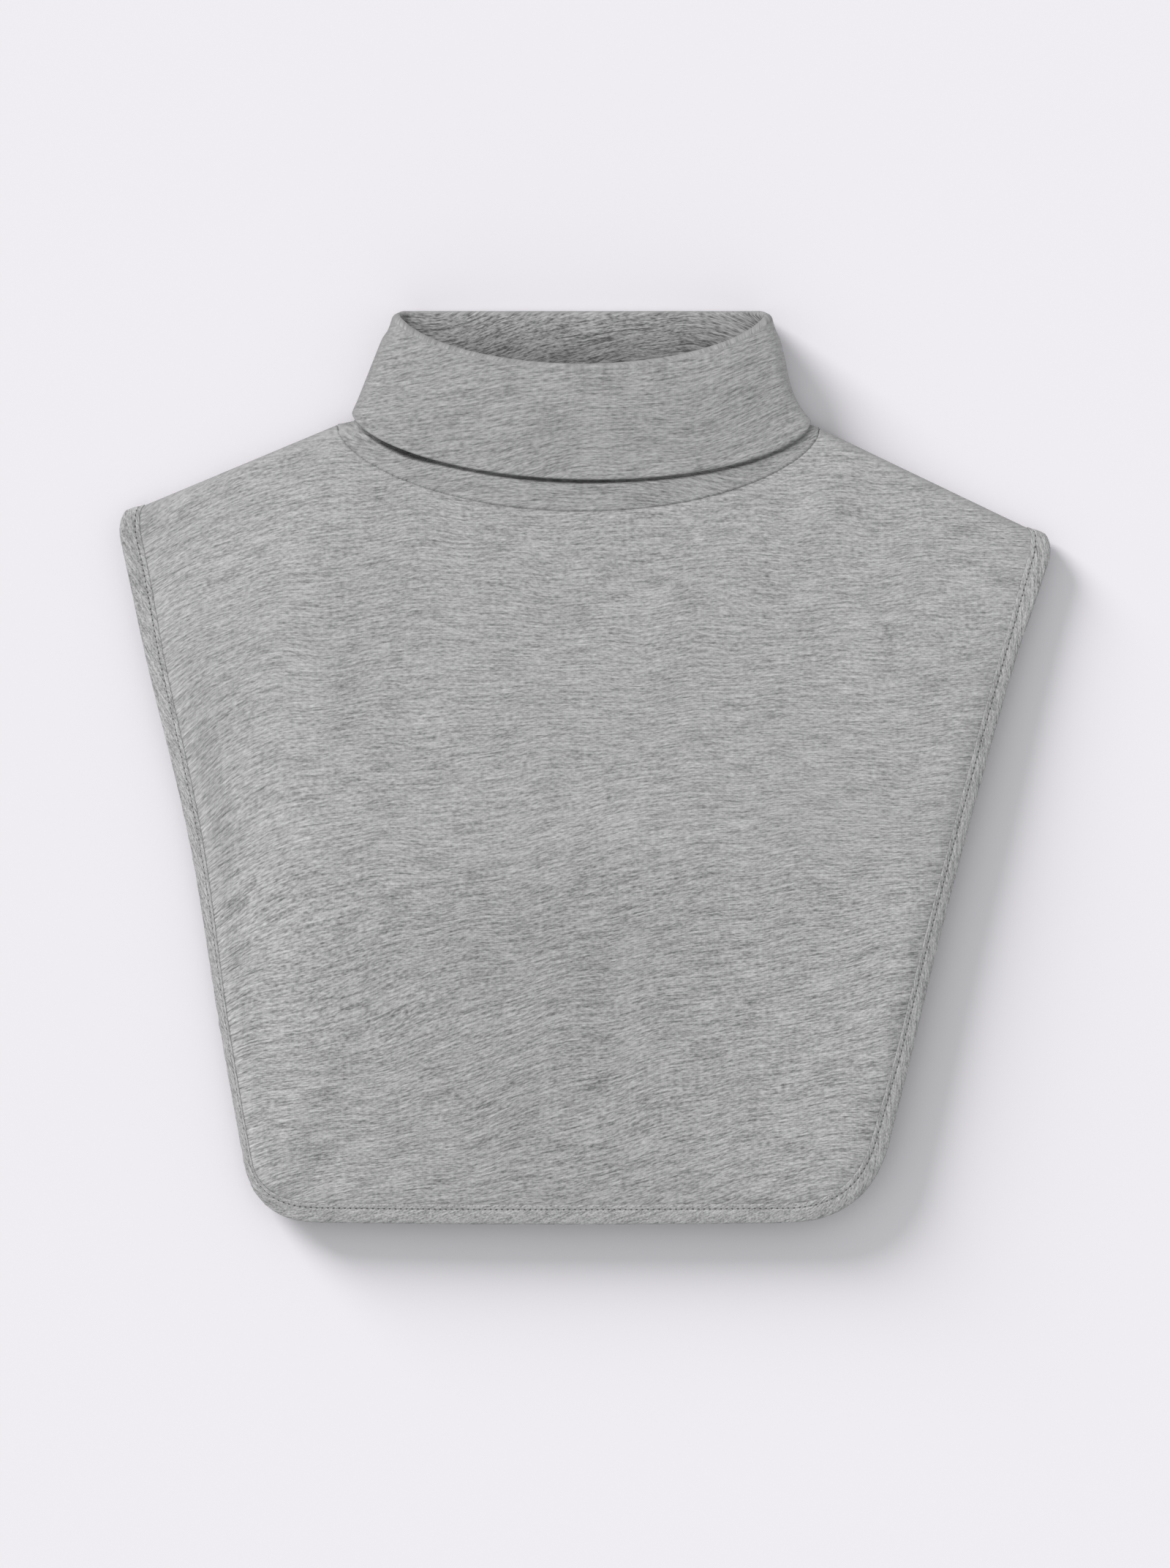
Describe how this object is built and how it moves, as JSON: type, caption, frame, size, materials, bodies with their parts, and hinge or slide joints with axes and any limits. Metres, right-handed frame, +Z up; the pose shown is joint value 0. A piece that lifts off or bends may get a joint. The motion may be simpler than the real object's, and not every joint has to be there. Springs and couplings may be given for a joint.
{
  "type": "turtleneck dickey",
  "caption": "Sleeveless half-length collar bib laid flat, with a turned-down roll collar, front and back panels open at the sides, and bound edges.",
  "frame": {"origin": "centre of the bounding box in X and Y, on the surface that the dickey lies on", "axes": "+Z up from that surface, out of the front; +Y towards the collar; +X to the right as seen from above"},
  "size_m": [0.3814, 0.3742, 0.0276],
  "materials": {
    "body_jersey": "grey marl cotton single jersey",
    "collar_jersey": "grey marl cotton single jersey, doubled",
    "band_jersey": "grey marl cotton single jersey, folded over the edge"
  },
  "bodies": {
    "root": {"front_panel": "body_jersey", "back_panel": "body_jersey", "collar": "collar_jersey", "edge_band": "band_jersey"}
  },
  "joints": []
}
